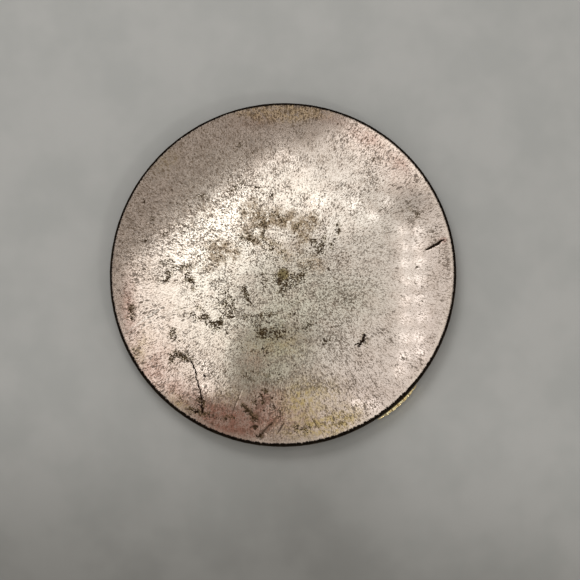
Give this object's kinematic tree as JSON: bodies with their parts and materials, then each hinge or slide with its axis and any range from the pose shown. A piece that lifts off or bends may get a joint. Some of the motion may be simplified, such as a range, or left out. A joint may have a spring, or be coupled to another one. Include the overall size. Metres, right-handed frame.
{
  "type": "dealer button",
  "caption": "Thin round metal dealer button with a plain brushed back, an enamelled front, and a suit dial turned by a fluted thumb-piece in its rim.",
  "frame": {"origin": "on the disc's axis, in the plane that the border ring rests on", "axes": "+Z along the disc's axis, out of the plain plated back; +Y to the window, in the front face"},
  "size_m": [0.0762, 0.0762, 0.004],
  "materials": {
    "silver_plate": "worn silver plate over brass, brushed radially, pitted and stained",
    "blackened_brass": "blackened and worn, satin",
    "gilt_brass": "bright gilt brass with darker wear",
    "raw_brass": "plain brass, slightly tarnished",
    "steel": "plain steel, satin",
    "lens": "clear",
    "field_enamel": "dark green enamel, glossy, lightly scratched",
    "dial_enamel": "cream enamel, satin",
    "red_enamel": "red enamel, glossy",
    "black_enamel": "black enamel, glossy"
  },
  "bodies": {
    "case": {"back_plate": "silver_plate", "rim_ring": "blackened_brass", "front_plate": "blackened_brass", "front_enamel": "field_enamel", "border_ring": "gilt_brass", "front_screws": "steel", "window_frame": "gilt_brass", "window_lens": "lens", "pivot_stud": "gilt_brass", "spring_washer": "steel", "spacer_washer": "raw_brass", "detent_spring": "steel"},
    "dial": {"dial": "raw_brass", "dial_enamel": "dial_enamel", "red_pips": "red_enamel", "black_pips": "black_enamel", "thumb_piece": "gilt_brass", "dial_rivets": "raw_brass"}
  },
  "joints": [
    {"name": "dial_turn", "type": "hinge", "parent": "case", "child": "dial", "pos_m": [0, 0, 0.0019], "axis": [0, 0, 1], "range_deg": [-60, 0], "deforming": ["detent_spring"]}
  ]
}
